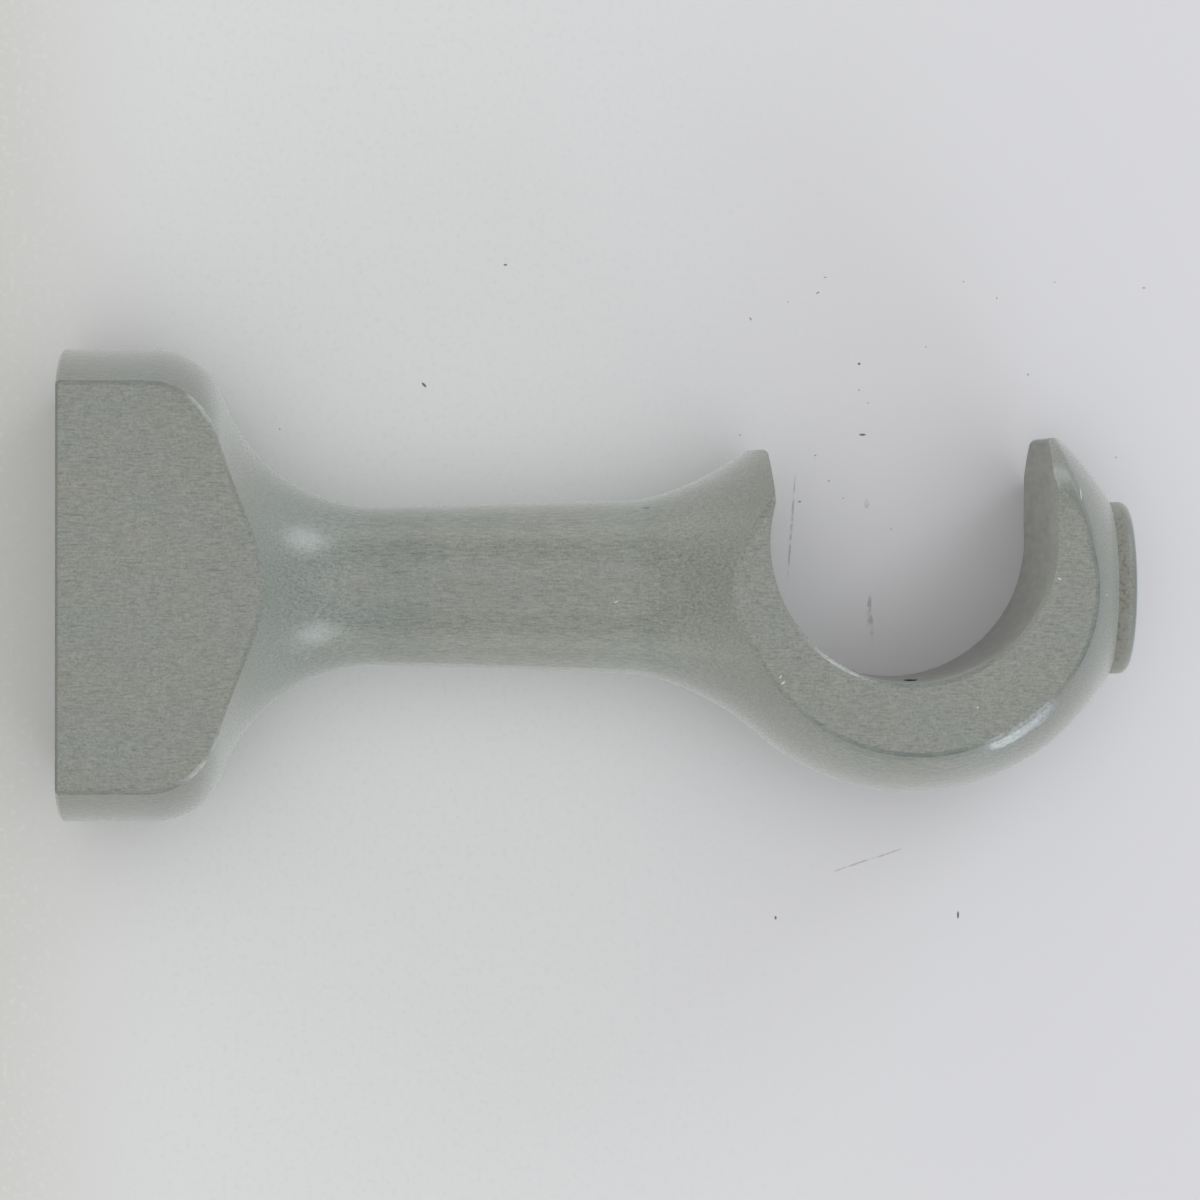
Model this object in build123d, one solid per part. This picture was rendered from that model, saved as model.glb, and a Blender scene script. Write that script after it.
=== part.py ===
from build123d import *
import os
from math import cos, hypot, radians, sin, sqrt, tan

# Turned wooden curtain pole bracket, in millimetres.
# The origin is the middle of the wall face: +X runs out along the arm, +Y along the pole, +Z up.

# The board that the bracket is turned from
board_thickness = 26.5

# Round base against the wall
base_radius = 25.25
rim_width = 9.65
shoulder_radius = 8.0
cove_radius = 17.5

# Arm, measured where the cove runs into it
arm_root_radius = 8.5
arm_taper = 1.75

# Cup that carries the pole
pole_diameter = 28.0
pole_clearance = 1.0
pole_distance = 89.9
pole_rise = 5.0
cup_radius = 21.95
cup_curve_radius = 24.5
cup_lead = 0.9
flare_reach = 29.0
flare_radius = 29.5

# Round button on the front end
button_radius = 9.25
button_width = 2.1

# Mouth above the seat, sawn a little askew and off the middle
mouth_clearance = 0.49
mouth_offset = 0.47
mouth_tilt = 2.5
mouth_draft = 2.5
lip_height = 10.4

# Screw holes: a blind one in the wall face, a small one down through the floor of the seat
wall_screw_diameter = 5.0
wall_screw_depth = 30.0
drill_point_angle = 118.0
pole_screw_diameter = 1.5
pole_screw_offset = 1.3

# Eased edges
edge_chamfer = 0.3
seat_bevel = 0.4
seat_bevel_angle = 45.0
lip_corner_radius = 0.6
flare_blend_radius = 12.0
button_edge_radius = 1.0


def circle_meeting(centre_a, radius_a, centre_b, radius_b):
    # Where two circles cross, on the right hand of the way from a to b.
    run = centre_b[0] - centre_a[0]
    rise = centre_b[1] - centre_a[1]
    apart = hypot(run, rise)
    along = (radius_a**2 - radius_b**2 + apart**2) / (2 * apart)
    aside = sqrt(radius_a**2 - along**2)
    return (
        centre_a[0] + (along * run + aside * rise) / apart,
        centre_a[1] + (along * rise - aside * run) / apart,
    )


def touching_point(centre_a, radius_a, centre_b, radius_b):
    # Where two circles touch from outside.
    share = radius_a / (radius_a + radius_b)
    return (
        centre_a[0] + share * (centre_b[0] - centre_a[0]),
        centre_a[1] + share * (centre_b[1] - centre_a[1]),
    )


def round_corner(sketch, corner, radius):
    # Rounds the corner of an outline that lies nearest to a point.
    fillet(sketch.vertices().sort_by_distance(corner)[0], radius)


# Shoulder and cove, two arcs that touch, the cove running smoothly into the tapered arm
taper = radians(arm_taper)
shoulder_centre = (rim_width, base_radius - shoulder_radius)
cove_height = arm_root_radius + cove_radius * cos(taper)
cove_drop = cove_height - shoulder_centre[1]
cove_run = sqrt((shoulder_radius + cove_radius) ** 2 - cove_drop**2)
cove_centre = (shoulder_centre[0] + cove_run, cove_height)
shoulder_end = touching_point(shoulder_centre, shoulder_radius, cove_centre, cove_radius)
arm_root = (cove_centre[0] + cove_radius * sin(taper), arm_root_radius)

# Flare, an arc from the end of the arm that touches the round of the cup
cup_centre = (pole_distance + cup_lead, cup_radius - cup_curve_radius)
arm_end_x = cup_centre[0] - flare_reach
arm_end = (arm_end_x, arm_root_radius + (arm_end_x - arm_root[0]) * tan(taper))
flare_centre = circle_meeting(cup_centre, cup_curve_radius + flare_radius, arm_end, flare_radius)
flare_end = touching_point(cup_centre, cup_curve_radius, flare_centre, flare_radius)

# The half section is drawn on the underside, turned clear of the lips and the screw hole
section_turn = 160.0
section_plane = Plane.XZ.rotated((section_turn, 0, 0))

# The round of the cup ends at the button
button_drop = button_radius - cup_centre[1]
button_root = (cup_centre[0] + sqrt(cup_curve_radius**2 - button_drop**2), button_radius)
overall_length = button_root[0] + button_width
button_front = (overall_length, button_radius)

# Seat for the pole, with a mouth that widens upwards from the level of the pole
clear_of_cup = 2 * cup_radius
seat_radius = pole_diameter / 2 + pole_clearance
mouth_half_width = pole_diameter / 2 + mouth_clearance
mouth_slope = tan(radians(mouth_draft))
tilt = radians(mouth_tilt)
seat_plane = Plane(
    origin=(pole_distance, 0, pole_rise),
    x_dir=(cos(tilt), 0, sin(tilt)),
    z_dir=(0, -1, 0),
)


def mouth_corners(height):
    # The two walls of the mouth at a height above the pole's axis.
    half_width = mouth_half_width + height * mouth_slope
    return (mouth_offset - half_width, height), (mouth_offset + half_width, height)


with BuildPart() as bracket:
    # Turned form, a half section spun about the axis of the arm
    with BuildSketch(section_plane) as half_section:
        with BuildLine():
            rim = Line((0, base_radius), (rim_width, base_radius))
            shoulder = TangentArc(rim @ 1, shoulder_end, tangent=rim % 1)
            cove = TangentArc(shoulder @ 1, arm_root, tangent=shoulder % 1)
            arm = Line(cove @ 1, arm_end)
            flare = RadiusArc(arm @ 1, flare_end, -flare_radius)
            cup = TangentArc(flare @ 1, button_root, tangent=flare % 1)
            button = Line(cup @ 1, button_front)
            Polyline(button @ 1, (overall_length, 0), (0, 0), rim @ 0)
        make_face()
        round_corner(half_section, arm_end, flare_blend_radius)
        round_corner(half_section, button_front, button_edge_radius)
    revolve(axis=Axis.X)

    # The two faces of the board stay as flats on the base and the cup
    Box(2 * overall_length, board_thickness, 4 * base_radius, mode=Mode.INTERSECT)
    flats = bracket.faces().filter_by(Axis.Y)
    wall_face = bracket.faces().sort_by(Axis.X)[0]
    chamfer(flats.edges() + wall_face.edges(), edge_chamfer)

    # Seat and mouth, cut through from flat to flat, and the lips trimmed level
    with BuildSketch(seat_plane) as seat_outline:
        Circle(seat_radius)
        with BuildLine():
            Polyline(*mouth_corners(0), *reversed(mouth_corners(clear_of_cup)), close=True)
        make_face()
        with Locations((0, lip_height)):
            Rectangle(2 * flare_reach, clear_of_cup, align=(Align.CENTER, Align.MIN))
        for lip_corner in mouth_corners(lip_height):
            round_corner(seat_outline, lip_corner, lip_corner_radius)
    extrude(amount=board_thickness, both=True, mode=Mode.SUBTRACT)

    # A bevel around the seat on both flats
    for side in (1, -1):
        with BuildSketch(seat_plane.offset(side * (board_thickness / 2 - seat_bevel))):
            add(seat_outline.sketch_local)
        extrude(amount=side * 2 * seat_bevel, taper=-seat_bevel_angle, mode=Mode.SUBTRACT)

    # Blind screw hole in the middle of the wall face, with the cone that the drill leaves
    with BuildSketch(Plane.XZ):
        wall_screw_radius = wall_screw_diameter / 2
        drill_point = wall_screw_radius / tan(radians(drill_point_angle / 2))
        with BuildLine():
            Polyline(
                (0, 0),
                (0, wall_screw_radius),
                (wall_screw_depth, wall_screw_radius),
                (wall_screw_depth + drill_point, 0),
                close=True,
            )
        make_face()
    revolve(axis=Axis.X, mode=Mode.SUBTRACT)

    # Small screw hole down through the floor of the seat
    with Locations((pole_distance + pole_screw_offset, 0, pole_rise)):
        Cylinder(
            pole_screw_diameter / 2,
            clear_of_cup,
            align=(Align.CENTER, Align.CENTER, Align.MAX),
            mode=Mode.SUBTRACT,
        )

os.makedirs("parts", exist_ok=True)
export_step(bracket.part, "parts/pole_bracket.step")
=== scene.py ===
import math

import bmesh
import bpy
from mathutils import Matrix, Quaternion, Vector


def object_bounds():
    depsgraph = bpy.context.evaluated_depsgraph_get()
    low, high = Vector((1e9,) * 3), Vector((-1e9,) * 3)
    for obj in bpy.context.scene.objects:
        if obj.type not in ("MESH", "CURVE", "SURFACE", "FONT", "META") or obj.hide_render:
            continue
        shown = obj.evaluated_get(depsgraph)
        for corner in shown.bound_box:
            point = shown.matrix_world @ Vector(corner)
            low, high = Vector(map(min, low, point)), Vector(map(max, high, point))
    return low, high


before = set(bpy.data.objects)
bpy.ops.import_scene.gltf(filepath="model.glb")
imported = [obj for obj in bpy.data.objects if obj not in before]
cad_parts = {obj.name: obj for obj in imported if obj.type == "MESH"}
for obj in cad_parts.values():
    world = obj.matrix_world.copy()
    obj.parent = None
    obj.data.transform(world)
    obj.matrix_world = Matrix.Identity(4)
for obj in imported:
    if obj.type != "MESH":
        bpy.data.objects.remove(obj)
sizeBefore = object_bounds()
mm = 0.001
scene = bpy.context.scene
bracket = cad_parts["pole_bracket"]
lowCorner, highCorner = sizeBefore


def addNode(tree, kind, inputs=None, **settings):
    # Adds a shader node, with a link for each input that is a socket and a constant for each other one.
    node = tree.nodes.new("ShaderNode" + kind)
    for name, value in settings.items():
        setattr(node, name, value)
    for name, value in (inputs or {}).items():
        if isinstance(value, bpy.types.NodeSocket):
            tree.links.new(value, node.inputs[name])
        else:
            node.inputs[name].default_value = value
    return node


def newMaterial(name):
    material = bpy.data.materials.new(name)
    material.use_nodes = True
    material.node_tree.nodes.clear()
    return material, material.node_tree


def calc(tree, operation, *values):
    return addNode(tree, "Math", dict(enumerate(values)), operation=operation).outputs[0]


def product(tree, first, *others):
    result = first
    for other in others:
        result = calc(tree, "MULTIPLY", result, other)
    return result


def inverse(tree, mask):
    return calc(tree, "SUBTRACT", 1.0, mask)


def hypotenuse(tree, first, second):
    squares = calc(tree, "ADD", calc(tree, "POWER", first, 2.0), calc(tree, "POWER", second, 2.0))
    return calc(tree, "SQRT", squares)


def vectorCalc(tree, operation, *values, output="Vector"):
    return addNode(tree, "VectorMath", dict(enumerate(values)), operation=operation).outputs[output]


def ramp(tree, value, low, high, start=0.0, end=1.0, kind="SMOOTHSTEP"):
    # A step from start to end as the value goes from low to high.
    limits = {"Value": value, "From Min": low, "From Max": high, "To Min": start, "To Max": end}
    return addNode(tree, "MapRange", limits, interpolation_type=kind).outputs["Result"]


def climb(tree, value, low, high, start=0.0, end=1.0, kind="SMOOTHSTEP"):
    # A ramp along a length, with its two ends in millimetres.
    return ramp(tree, value, low * mm, high * mm, start, end, kind)


def span(tree, value, low, full, fade, high):
    # A mask along a length in millimetres: it rises from low to full and falls from fade to high.
    return product(tree, climb(tree, value, low, full), climb(tree, value, high, fade))


def swing(tree, value, size):
    # Noise as a change of tone that swings by so much to either side.
    return ramp(tree, value, 0.2, 0.8, -size, size, "LINEAR")


def blend(tree, factor, first, second, mode="MIX"):
    # Inputs 6 and 7 of a colour mix are its two colours, and output 2 is the result.
    sockets = {0: factor, 6: first, 7: second}
    return addNode(tree, "Mix", sockets, data_type="RGBA", blend_type=mode).outputs[2]


def toned(tree, colour, tone):
    return blend(tree, 1.0, colour, tone, "MULTIPLY")


def turnNormal(tree, factor, normal, towards):
    # Inputs 4 and 5 of a vector mix are its two vectors, and output 1 is the result.
    return addNode(tree, "Mix", {0: factor, 4: normal, 5: towards}, data_type="VECTOR").outputs[1]


def noise(tree, place, scale, detail=2.0):
    # Noise with so many marks to the metre along X, Y and Z.
    stretched = addNode(tree, "Mapping", {"Vector": place, "Scale": scale}).outputs["Vector"]
    return addNode(tree, "TexNoise", {"Vector": stretched, "Scale": 1.0, "Detail": detail}).outputs["Fac"]


def makeSoftSpot():
    # A mask for a soft oval spot that is turned about Y: 1 in its middle and 0 beyond its half sizes.
    group = bpy.data.node_groups.new("softSpot", "ShaderNodeTree")
    for name, kind in (("Place", "Vector"), ("Middle", "Vector"), ("Stretch", "Vector"), ("Turn", "Float")):
        group.interface.new_socket(name, in_out="INPUT", socket_type="NodeSocket" + kind)
    group.interface.new_socket("Mask", in_out="OUTPUT", socket_type="NodeSocketFloat")
    given = group.nodes.new("NodeGroupInput").outputs
    offset = vectorCalc(group, "SUBTRACT", given["Place"], given["Middle"])
    turning = {"Vector": offset, "Angle": given["Turn"]}
    turned = addNode(group, "VectorRotate", turning, rotation_type="Y_AXIS").outputs["Vector"]
    stretched = vectorCalc(group, "MULTIPLY", turned, given["Stretch"])
    away = vectorCalc(group, "LENGTH", stretched, output="Value")
    result = group.nodes.new("NodeGroupOutput")
    group.links.new(ramp(group, away, 1.0, 0.6), result.inputs["Mask"])
    return group


softSpot = makeSoftSpot()


def spot(tree, place, middle, half, turn=0.0):
    # Places a soft spot, with its middle and its half sizes in millimetres and its turn in degrees.
    node = addNode(tree, "Group", node_tree=softSpot)
    node.inputs["Middle"].default_value = [at * mm for at in middle]
    node.inputs["Stretch"].default_value = [1 / (size * mm) for size in half]
    node.inputs["Turn"].default_value = math.radians(turn)
    tree.links.new(place, node.inputs["Place"])
    return node.outputs["Mask"]


def shade(red, green, blue):
    # A colour as a screen shows it, from 0 to 255, as the linear values that a shader takes.
    def linear(level):
        level /= 255
        return level / 12.92 if level <= 0.04045 else ((level + 0.055) / 1.055) ** 2.4

    return linear(red), linear(green), linear(blue), 1.0


# Camera high above the bracket as it lies, a little towards the wall end
view = {"from": (33.84, -553.1, 9.1), "at": (57.54, 0.0, -1.43), "roll": 0.17, "lens": 154.6, "sensor": 36.0}
camera = bpy.data.cameras.new("camera")
camera.lens = view["lens"]
camera.sensor_width = view["sensor"]
cameraObject = bpy.data.objects.new("camera", camera)
scene.collection.objects.link(cameraObject)
scene.camera = cameraObject
eye, aim = Vector(view["from"]) * mm, Vector(view["at"]) * mm
rolledOver = Quaternion((0, 0, 1), math.radians(view["roll"]))
cameraObject.location = eye
cameraObject.rotation_mode = "QUATERNION"
cameraObject.rotation_quaternion = (aim - eye).to_track_quat("-Z", "Y") @ rolledOver
scene.view_settings.view_transform = "Standard"
print("camera done")

# Grey stained wood under satin lacquer: its colours, its noise in marks to the metre along X, Y and Z,
# and its finish
wood = {
    "stain": shade(117, 119, 112),
    "cool": shade(115, 120, 114),
    "warm": shade(118, 119, 111),
    "pore": shade(76, 78, 73),
    "edge": shade(88, 91, 86),
    "coolEdge": shade(82, 96, 98),
    "coveCoolLight": shade(123, 131, 127),
    "armLight": shade(127, 130, 123),
    "bevelLightColour": shade(142, 144, 138),
    "streakHighlight": shade(174, 181, 186),
    "bored": shade(101, 100, 90),
    "rawGrain": shade(120, 119, 111),
    "rawPore": shade(98, 96, 85),
    "nickAndGlint": shade(215, 218, 216),
    "hole": shade(12, 12, 11),
    "patches": (90.0, 150.0, 150.0),
    "speckle": (4500.0, 4800.0, 4800.0),
    "dashes": (700.0, 4600.0, 4600.0),
    "pores": (330.0, 5200.0, 5200.0),
    "ragged": (700.0, 1200.0, 1200.0),
    "mottle": (2300.0, 2300.0, 2300.0),
    "toolMarks": (1200.0, 220.0, 1200.0),
    "latheRings": (2600.0, 40.0, 40.0),
    "speckleTone": 0.29,
    "dashTone": 0.2,
    "smooth": 0.23,
    "rough": 0.32,
    "rawRough": 0.6,
    "polish": 0.14,
    "grainHeight": 0.01 * mm,
}

# Stretches of the bracket along X in millimetres, each one where it starts, is full, fades and ends
stretches = {
    "highlitArris": (13.2, 14.5, 16.5, 18.5),
    "cove": (18.0, 23.0, 28.0, 44.0),
    "arm": (36.0, 42.0, 60.0, 66.0),
    "flare": (60.0, 66.0, 78.0, 88.0),
    "cupEdge": (72.0, 80.0, 94.0, 100.0),
    "glintedRim": (79.5, 82.0, 85.0, 88.0),
}
material, tree = newMaterial("greyStainedWood")
place = addNode(tree, "TexCoord").outputs["Object"]
x, y, z = addNode(tree, "SeparateXYZ", {"Vector": place}).outputs
outwards = calc(tree, "SIGN", y)
depth = calc(tree, "SUBTRACT", highCorner.y, calc(tree, "ABSOLUTE", y))  # below the nearer flat
geometry = addNode(tree, "NewGeometry").outputs
facing = addNode(tree, "SeparateXYZ", {"Vector": geometry["True Normal"]}).outputs
flatness = calc(tree, "ABSOLUTE", facing["Y"])  # 1 on the flats
endGrain = calc(tree, "POWER", facing["X"], 2.0)  # 1 on the end faces
offFlat = ramp(tree, flatness, 0.98, 0.95)

# Stain that drifts between cool and warm, fine speckle and dashes along the fibres, and darker pores
drift = noise(tree, place, wood["patches"])
colour = blend(tree, ramp(tree, drift, 0.3, 0.5, 1.0, 0.0), wood["stain"], wood["cool"])
colour = blend(tree, ramp(tree, drift, 0.5, 0.7), colour, wood["warm"])
speckle = noise(tree, place, wood["speckle"], 1.0)
dashes = noise(tree, place, wood["dashes"], 1.0)
grain = calc(tree, "ADD", swing(tree, speckle, wood["speckleTone"]), swing(tree, dashes, wood["dashTone"]))
weaker = product(tree, ramp(tree, endGrain, 0.05, 0.7, 1.0, 0.35), ramp(tree, flatness, 0.1, 0.6, 0.35, 1.0))
grain = calc(tree, "ADD", product(tree, grain, weaker), 1.0)
colour = toned(tree, colour, grain)
pores = ramp(tree, noise(tree, place, wood["pores"]), 0.63, 0.75)
colour = blend(tree, product(tree, pores, 0.6), colour, wood["pore"])

# Growth rings round a pith outside the board show on the end faces
pith = {"at": (0.0, -45.0 * mm, 20.0 * mm), "turns": 2600.0, "waver": 9.0}
section = vectorCalc(tree, "MULTIPLY", place, (0.0, 1.0, 1.0))
fromPith = vectorCalc(tree, "DISTANCE", section, pith["at"], output="Value")
turns = calc(tree, "ADD", product(tree, fromPith, pith["turns"]), product(tree, drift, pith["waver"]))
ringed = toned(tree, colour, ramp(tree, calc(tree, "SINE", turns), -0.6, 1.0, 0.84, 1.08))
colour = blend(tree, ramp(tree, endGrain, 0.9, 0.98), colour, ringed)

# A crease leans across the front lip. offLine is how far in front of it a point lies.
crease = {"x": 110.63 * mm, "lean": 0.27, "half": 0.2}
offLine = calc(tree, "SUBTRACT", calc(tree, "ADD", x, product(tree, z, crease["lean"])), crease["x"])
onLip = climb(tree, z, 4.0, 6.5)
behind = product(tree, span(tree, offLine, -9.0, -8.0, -0.8, 0.1), onLip)

# Painted cool light tints the cove and painted light makes the arm and flare paler. Both ends are darker on
# their turned sides, and on the base this is painted shade that deepens towards the outline.
coveLightMask = product(tree, span(tree, x, *stretches["cove"]), ramp(tree, flatness, 0.99, 0.95))
coveLightMask = product(tree, coveLightMask, ramp(tree, flatness, 0.15, 0.6, 0.2, 0.5))
colour = blend(tree, coveLightMask, colour, toned(tree, wood["coveCoolLight"], grain))
# The front's turned sides are darker, and on the base painted shade darkens the turned sides more towards the
# outline
darkerFront = product(tree, climb(tree, x, 97.0, 106.0, 0.0, 0.42), inverse(tree, behind))
baseShade = product(tree, climb(tree, x, 20.0, 14.0), ramp(tree, flatness, 0.75, 0.15, 0.2, 0.58))
darkerFrontAndBaseShade = product(tree, calc(tree, "ADD", darkerFront, baseShade), ramp(tree, flatness, 0.9, 0.75))
colour = blend(tree, darkerFrontAndBaseShade, colour, wood["edge"])
# Painted light: the arm and the flare are made paler
armLightMask = product(tree, span(tree, x, *stretches["arm"]), 0.6)
flareLightMask = product(tree, span(tree, x, *stretches["flare"]), ramp(tree, flatness, 0.4, 0.75, 0.35, 0.85))
armLightMask = product(tree, calc(tree, "MAXIMUM", armLightMask, flareLightMask), ramp(tree, flatness, 0.999, 0.975))
colour = blend(tree, armLightMask, colour, toned(tree, wood["armLight"], grain))

# The bored seat and its mouth are browner and marked by the tool, and painted shade darkens them towards the
# floor
seat = {"x": 89.9 * mm, "z": 5.0 * mm, "radius": 15.35}
aside = calc(tree, "SUBTRACT", x, seat["x"])
below = calc(tree, "MINIMUM", calc(tree, "SUBTRACT", z, seat["z"]), 0.0)
fromSeat = hypotenuse(tree, aside, below)
bored = climb(tree, fromSeat, seat["radius"], seat["radius"] - 0.1)
bored = product(tree, bored, ramp(tree, flatness, 0.3, 0.15))
toolMarks = ramp(tree, noise(tree, place, wood["toolMarks"], 3.0), 0.25, 0.75, 0.55, 1.45, "LINEAR")
toolMarksAndShade = product(tree, toolMarks, climb(tree, z, -10.0, 8.0, 0.6, 0.95))
colour = blend(tree, bored, colour, toned(tree, wood["bored"], toolMarksAndShade))

# Stain gathers in a dark, ragged line along the eased arrises of the flats, cooler on the cup than on the
# base and weaker where the shoulders begin, where a pale painted highlight lies along it
arris = product(tree, ramp(tree, flatness, 0.995, 0.98), climb(tree, depth, 0.4, 0.28))
arris = product(tree, arris, climb(tree, depth, 0.1, 0.18, 0.4, 1.0))
arris = product(tree, arris, ramp(tree, noise(tree, place, wood["ragged"]), 0.3, 0.65, 0.4, 1.0))
arris = product(tree, arris, climb(tree, fromSeat, seat["radius"] + 0.3, seat["radius"] + 1.2))
faded = spot(tree, place, (101.8, -13.0, -13.9), (8.8, 4.0, 3.8), 37)
arris = product(tree, arris, inverse(tree, faded))
onBase = calc(tree, "MAXIMUM", climb(tree, x, 17.0, 12.0, 0.1, 0.3), climb(tree, x, 0.8, 0.4, 0.0, 0.7))
onBase = product(tree, onBase, climb(tree, x, 50.0, 40.0))
onCup = product(tree, climb(tree, x, 78.0, 92.0, 0.0, 0.7), climb(tree, z, 7.5, 4.0))
edgeColour = blend(tree, climb(tree, x, 30.0, 70.0), wood["edge"], wood["coolEdge"])
colour = blend(tree, product(tree, arris, calc(tree, "ADD", onBase, onCup)), colour, edgeColour)
# Painted highlight: a pale line along the arris where the shoulders begin, stronger below than above
highlightSides = calc(tree, "ADD", climb(tree, z, 0.0, 5.0, 0.0, 0.21), climb(tree, z, 0.0, -5.0, 0.0, 0.294))
arrisHighlight = product(tree, arris, span(tree, x, *stretches["highlitArris"]), highlightSides)
colour = blend(tree, arrisHighlight, colour, wood["nickAndGlint"])

# The edge of the cup rolls over softly from the flat, with a cool painted shade along it and, in one polished
# place, a painted highlight streak, and painted light makes the bevel at the seat's rim paler
polishedHighlitSpot = spot(tree, place, (101.6, -13.0, -14.6), (5.6, 4.0, 2.4), 35)
polishedHighlitSpot = product(tree, polishedHighlitSpot, climb(tree, depth, 2.2, 1.5), offFlat)
streakHighlightMask = product(tree, polishedHighlitSpot, ramp(tree, noise(tree, place, wood["mottle"]), 0.35, 0.6, 0.2, 0.5))
colour = blend(tree, streakHighlightMask, colour, wood["streakHighlight"])
# Painted shade: a cool, darker band along the cup's turned side next to the arris
cupEdgeShade = product(tree, climb(tree, depth, 1.8, 0.4, 0.0, 0.16), offFlat, span(tree, x, *stretches["cupEdge"]))
colour = blend(tree, cupEdgeShade, colour, wood["coolEdge"])
# Painted light: the bevel at the seat's rim on the flats is made paler
bevelLight = product(tree, climb(tree, fromSeat, 15.6, 15.45), climb(tree, depth, 0.45, 0.38))
bevelLight = product(tree, bevelLight, ramp(tree, flatness, 0.98, 0.9, 0.0, 0.5), climb(tree, x, 97.0, 104.0))
colour = blend(tree, bevelLight, colour, wood["bevelLightColour"])
softEdge = product(tree, climb(tree, depth, 1.2, 0.4), offFlat)
softEdge = product(tree, softEdge, climb(tree, x, 76.0, 86.0), climb(tree, x, 103.0, 97.0, 0.05, 0.25))
rolling = calc(tree, "MAXIMUM", product(tree, polishedHighlitSpot, climb(tree, depth, 0.25, 0.35, 0.1, 0.34)), softEdge)
straightOut = addNode(tree, "CombineXYZ", {"Y": outwards}).outputs["Vector"]
normal = turnNormal(tree, rolling, geometry["Normal"], straightOut)

# The crease runs on from the arris to the top of the front lip, and behind it the lip rolls over
awayFromLine = calc(tree, "ABSOLUTE", offLine)
onLine = product(tree, climb(tree, awayFromLine, crease["half"], 0.2 * crease["half"]), onLip)
onLine = product(tree, onLine, climb(tree, z, 15.0, 10.0, 0.0, 0.7))
colour = blend(tree, onLine, colour, wood["coolEdge"])
roll = product(tree, behind, climb(tree, z, 17.0, 9.0, 0.25, 0.95), ramp(tree, facing["X"], -0.5, -0.2))
lean = climb(tree, z, 5.0, 15.0, 0.0, 0.5, "LINEAR")
leaning = addNode(tree, "CombineXYZ", {"X": lean, "Y": outwards, "Z": lean}).outputs["Vector"]
normal = turnNormal(tree, roll, normal, leaning)

# Raw end grain on the button, browner towards its root, and a cool line round its front edge
button = {"root": 112.2, "end": 114.0, "radius": 9.25}
raw = climb(tree, x, button["root"] - 0.1, button["root"] + 0.1)
raw = product(tree, raw, climb(tree, x, button["end"], button["root"] + 0.3, 0.2, 1.0))
mottle = noise(tree, place, wood["mottle"], 4.0)
rawColour = blend(tree, ramp(tree, mottle, 0.5, 0.62), wood["rawGrain"], wood["rawPore"])
colour = blend(tree, product(tree, raw, ramp(tree, mottle, 0.38, 0.5, 0.4, 1.0)), colour, rawColour)
fromAxis = hypotenuse(tree, y, z)
frontEdge = ramp(tree, x, highCorner.x - 0.45 * mm, highCorner.x - 0.25 * mm, 0.0, 0.85)
frontEdge = product(tree, frontEdge, climb(tree, fromAxis, button["radius"] - 1.05, button["radius"] - 0.65))
colour = blend(tree, frontEdge, colour, wood["coolEdge"])

# A painted glint lies along the lower edge of the seat's rim near the arm
rimGlint = product(tree, span(tree, fromSeat, 15.16, 15.22, 15.3, 15.36), span(tree, x, *stretches["glintedRim"]))
rimGlint = product(tree, rimGlint, climb(tree, depth, 0.6, 0.3), climb(tree, z, 0.0, -2.0))
rimGlint = product(tree, rimGlint, ramp(tree, mottle, 0.4, 0.6, 0.0, 0.3))
colour = blend(tree, rimGlint, colour, wood["nickAndGlint"])

# Nicks, one of them a painted glint on the crease of the front lip, a dark pore, and the torn mouth of the
# pilot hole, painted near-black as shade: their middles, half sizes and turns
nicks = [
    ((76.0, -13.25, -9.2), (0.26, 0.3, 0.07), 50),
    ((76.25, -13.25, -9.85), (0.3, 0.3, 0.09), 35),
    ((105.4, -13.25, 1.15), (0.26, 0.3, 0.08), -25),
    # a painted glint on the crease of the front lip
    ((107.9, -11.3, 10.2), (0.07, 1.2, 0.9), 0),
    ((58.84, -9.1, -1.46), (0.3, 0.3, 0.06), 20),
    ((110.6, -11.8, -0.55), (0.1, 0.3, 0.1), 0),
    ((96.8, -13.25, -12.4), (0.1, 0.3, 0.1), 0),
]
for mark in nicks:
    colour = blend(tree, product(tree, spot(tree, place, *mark), 0.75), colour, wood["nickAndGlint"])
colour = blend(tree, spot(tree, place, (62.3, -4.3, 8.5), (0.5, 0.5, 0.2)), colour, wood["pore"])
holeShadeMask = spot(tree, place, (90.9, -1.0, -10.0), (0.8, 3.2, 1.5))
colour = blend(tree, holeShadeMask, colour, wood["hole"])
normal = vectorCalc(tree, "NORMALIZE", turnNormal(tree, holeShadeMask, normal, (0.0, -1.0, 0.3)))

# Relief of the fibres, strongest on the flats, fine rings that the lathe left on the turned sides, and a
# rough bore
relief = calc(tree, "SUBTRACT", calc(tree, "ADD", speckle, dashes), pores)
relief = product(tree, relief, ramp(tree, flatness, 0.15, 0.8))
rings = product(tree, noise(tree, place, wood["latheRings"]), ramp(tree, flatness, 0.995, 0.97, 0.0, 0.7))
rings = product(tree, rings, ramp(tree, flatness, 0.3, 0.8), inverse(tree, bored))
relief = calc(tree, "ADD", calc(tree, "ADD", relief, rings), product(tree, bored, mottle, 2.5))
bump = {"Height": relief, "Distance": wood["grainHeight"], "Normal": normal}
roughness = ramp(tree, dashes, 0.3, 0.7, wood["smooth"], wood["rough"])
roughness = calc(tree, "ADD", roughness, product(tree, calc(tree, "MAXIMUM", bored, raw), wood["rawRough"]))
roughness = calc(tree, "SUBTRACT", roughness, product(tree, polishedHighlitSpot, wood["polish"]))
surface = addNode(tree, "BsdfPrincipled", {
    "Base Color": colour,
    "Roughness": roughness,
    "IOR": 1.5,
    "Sheen Weight": 0.43,
    "Sheen Roughness": 0.55,
    "Sheen Tint": (0.97, 1.0, 0.98, 1.0),
    "Normal": addNode(tree, "Bump", bump).outputs["Normal"],
})
addNode(tree, "OutputMaterial", {"Surface": surface.outputs["BSDF"]})
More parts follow.
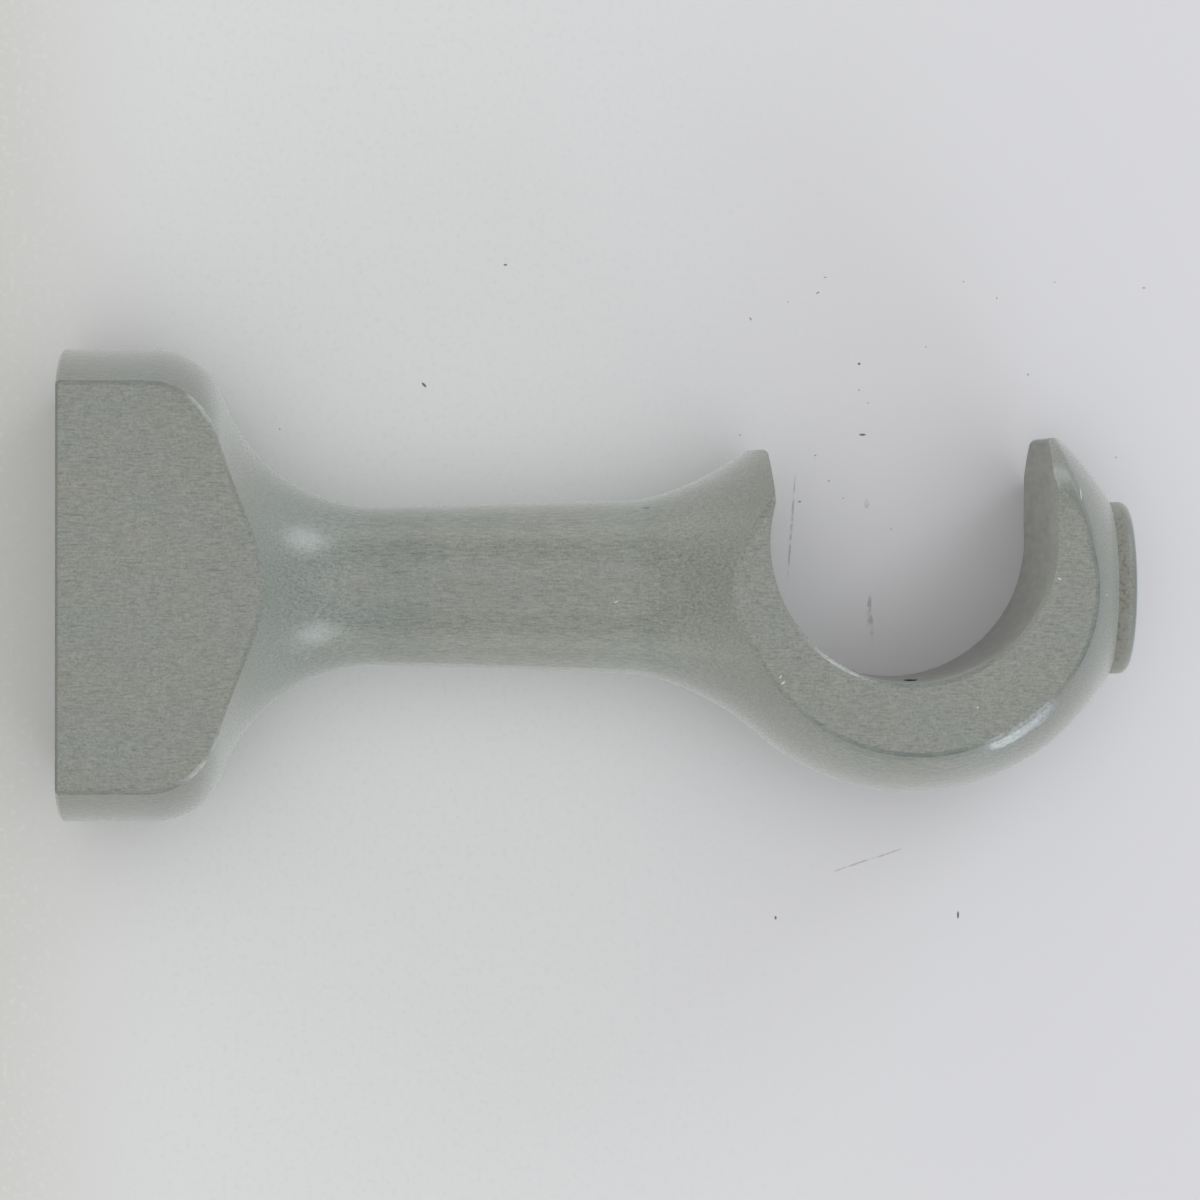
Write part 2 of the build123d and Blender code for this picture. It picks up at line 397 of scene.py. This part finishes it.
bracket.material_slots[0].material = material
print("wood done")

# Pale sheet that the bracket lies on. It lets light through from behind and onto what touches it.
sheet = {
    "colour": shade(212, 212, 212),
    "wallSide": shade(195, 195, 188),
    "frontSideCoolLight": shade(209, 208, 211),
    "fleck": shade(208, 208, 209),
    "speck": shade(110, 110, 112),
    "faint": shade(172, 172, 176),
    "flecks": (1500.0, 1500.0, 1500.0),
    "breaks": (1100.0, 1100.0, 1100.0),
    "gap": 0.02 * mm,
    "half": 1.5,
    "touch": 0.06 * mm,
    "darkSpeck": 0.03,
}

# Specks and scratches on it: their middles and half sizes along X and Z in millimetres, and their turns
specks = [
    ((38.7, 21.9), (0.17, 0.42), 45),
    ((87.0, 16.6), (0.45, 0.15), 0),
    ((47.6, 35.1), (0.25, 0.12), 0),
    ((97.8, -36.4), (0.15, 0.5), 0),
    ((77.6, -36.7), (0.15, 0.25), 0),
    ((81.8, 14.3), (0.15, 0.12), 0),
    ((83.3, 11.5), (0.15, 0.12), 0),
    ((80.1, 9.2), (0.2, 0.12), 0),
    ((90.2, 6.2), (0.12, 0.12), 0),
    ((22.9, 17.0), (0.13, 0.13), 0),
    ((105.3, 23.3), (0.12, 0.16), 0),
    ((86.6, 24.4), (0.2, 0.16), 0),
    ((86.6, 21.5), (0.13, 0.13), 0),
    ((87.6, 20.1), (0.12, 0.12), 0),
    ((94.0, 26.3), (0.12, 0.12), 0),
    ((73.5, 16.5), (0.14, 0.12), 0),
    ((84.9, 9.6), (0.12, 0.12), 0),
    ((82.8, 33.9), (0.2, 0.1), 0),
    ((82.0, 32.2), (0.24, 0.1), 35),
    ((74.6, 29.3), (0.1, 0.24), 30),
    ((118.1, 32.9), (0.24, 0.09), 0),
    ((98.1, 33.5), (0.12, 0.12), 0),
    ((108.2, 33.5), (0.15, 0.1), 0),
    ((101.8, 31.7), (0.1, 0.18), 0),
    ((115.1, 14.2), (0.12, 0.14), 0),
    ((78.7, 31.2), (0.12, 0.12), 0),
]
scratches = [
    ((79.2, 6.5), (0.16, 7.0), -4),
    ((87.8, -2.6), (0.28, 2.4), -4),
    ((88.1, -4.6), (0.26, 2.0), 3),
    ((87.5, 9.0), (0.3, 0.6), 0),
    ((86.0, -30.9), (3.2, 0.12), 19),
    ((90.0, -29.6), (2.0, 0.12), 19),
]
sheetY = highCorner.y + sheet["gap"]
mesh = bpy.data.meshes.new("sheet")
shape = bmesh.new()
bmesh.ops.create_grid(shape, x_segments=1, y_segments=1, size=sheet["half"])
upright = Quaternion((1, 0, 0), math.radians(90)).to_matrix()
bmesh.ops.rotate(shape, verts=shape.verts, matrix=upright)
bmesh.ops.translate(shape, verts=shape.verts, vec=(highCorner.x / 2, sheetY, 0))
shape.to_mesh(mesh)
shape.free()
sheetObject = bpy.data.objects.new("sheet", mesh)
scene.collection.objects.link(sheetObject)
material, tree = newMaterial("paleSheet")
mesh.materials.append(material)
place = addNode(tree, "TexCoord").outputs["Object"]
x = addNode(tree, "SeparateXYZ", {"Vector": place}).outputs["X"]
# Painted shade darkens the sheet on the wall side, and a painted cool light tints it on the front side
paperColour = blend(tree, climb(tree, x, -25.0, 14.0), sheet["wallSide"], sheet["colour"])
paperColour = blend(tree, climb(tree, x, 40.0, 110.0), paperColour, sheet["frontSideCoolLight"])
flecks = noise(tree, place, sheet["flecks"])
paperColour = blend(tree, ramp(tree, flecks, 0.5, 0.75), paperColour, sheet["fleck"])


def sheetSpot(middle, half, angle):
    # A soft spot on the sheet, which lies across Y.
    return spot(tree, place, (middle[0], sheetY / mm, middle[1]), (half[0], 1.0, half[1]), angle)


for middle, half, angle in specks:
    darkness = min(half[0] * half[1] / sheet["darkSpeck"], 1.0)  # small specks are fainter
    speckMask = product(tree, sheetSpot(middle, half, angle), darkness)
    paperColour = blend(tree, speckMask, paperColour, sheet["speck"])
broken = ramp(tree, noise(tree, place, sheet["breaks"], 3.0), 0.4, 0.6, 0.15, 0.9)
for middle, half, angle in scratches:
    scratchMask = product(tree, sheetSpot(middle, half, angle), broken)
    paperColour = blend(tree, scratchMask, paperColour, sheet["faint"])
rayLength = addNode(tree, "LightPath").outputs["Ray Length"]
fromBehind = addNode(tree, "NewGeometry").outputs["Backfacing"]
touching = calc(tree, "LESS_THAN", rayLength, sheet["touch"])
hidden = calc(tree, "MAXIMUM", fromBehind, touching)
paper = addNode(tree, "BsdfDiffuse", {"Color": paperColour}).outputs["BSDF"]
clear = addNode(tree, "BsdfTransparent").outputs["BSDF"]
seen = addNode(tree, "MixShader", {0: hidden, 1: paper, 2: clear}).outputs["Shader"]
addNode(tree, "OutputMaterial", {"Surface": seen})
print("sheet done")

# Soft light from above the flat, a little from the right, and from low down at the top and the bottom
daylight = {
    "all": (0.3, 0.3, 0.3, 1.0),
    "above": (1.51, 1.51, 1.53, 1.0),
    "low": (1.7, 1.68, 1.57, 1.0),
    "aboveFrom": (0.08, -1.0, 0.0),
    "aboveSpread": (0.62, 1.0),
    "wallShare": 0.5,
    "seen": shade(212, 212, 212),
}
world = bpy.data.worlds.new("daylight")
world.use_nodes = True
world.node_tree.nodes.clear()
scene.world = world
tree = world.node_tree
cameraRay = addNode(tree, "LightPath").outputs["Is Camera Ray"]
direction = addNode(tree, "TexCoord").outputs["Generated"]
along = addNode(tree, "SeparateXYZ", {"Vector": direction}).outputs
straightAbove = Vector(daylight["aboveFrom"]).normalized()
above = vectorCalc(tree, "DOT_PRODUCT", direction, straightAbove, output="Value")
above = ramp(tree, calc(tree, "ABSOLUTE", above), *daylight["aboveSpread"])
low = calc(tree, "POWER", inverse(tree, calc(tree, "ABSOLUTE", along["Y"])), 2.0)
upDown = calc(tree, "POWER", along["Z"], 2.0)
wallSide = calc(tree, "POWER", calc(tree, "MINIMUM", along["X"], 0.0), 2.0)
low = product(tree, low, calc(tree, "ADD", upDown, product(tree, wallSide, daylight["wallShare"])))
sky = blend(tree, above, daylight["all"], daylight["above"], "ADD")
sky = blend(tree, low, sky, daylight["low"], "ADD")
sky = blend(tree, cameraRay, sky, daylight["seen"])
background = addNode(tree, "Background", {"Color": sky, "Strength": 1.0}).outputs["Background"]
addNode(tree, "OutputWorld", {"Surface": background})


def addWindow(name, towards, width, power, colour):
    # A soft square light that stands a metre off from the middle of the bracket and looks at it.
    lamp = bpy.data.lights.new(name, "AREA")
    lamp.shape = "SQUARE"
    lamp.size = width
    lamp.energy = power
    lamp.color = colour
    lampObject = bpy.data.objects.new(name, lamp)
    scene.collection.objects.link(lampObject)
    middle = (lowCorner + highCorner) / 2
    lampObject.location = middle + Vector(towards).normalized()
    lampObject.rotation_euler = (middle - lampObject.location).to_track_quat("-Z", "Y").to_euler()


windows = {"width": 0.4, "upper": 2.6, "lower": 2.2, "colour": (0.86, 0.95, 1.0)}
addWindow("upperWindow", (0.65, -0.28, 0.71), windows["width"], windows["upper"], windows["colour"])
addWindow("lowerWindow", (0.54, -0.31, -0.785), windows["width"], windows["lower"], windows["colour"])
print("light done")
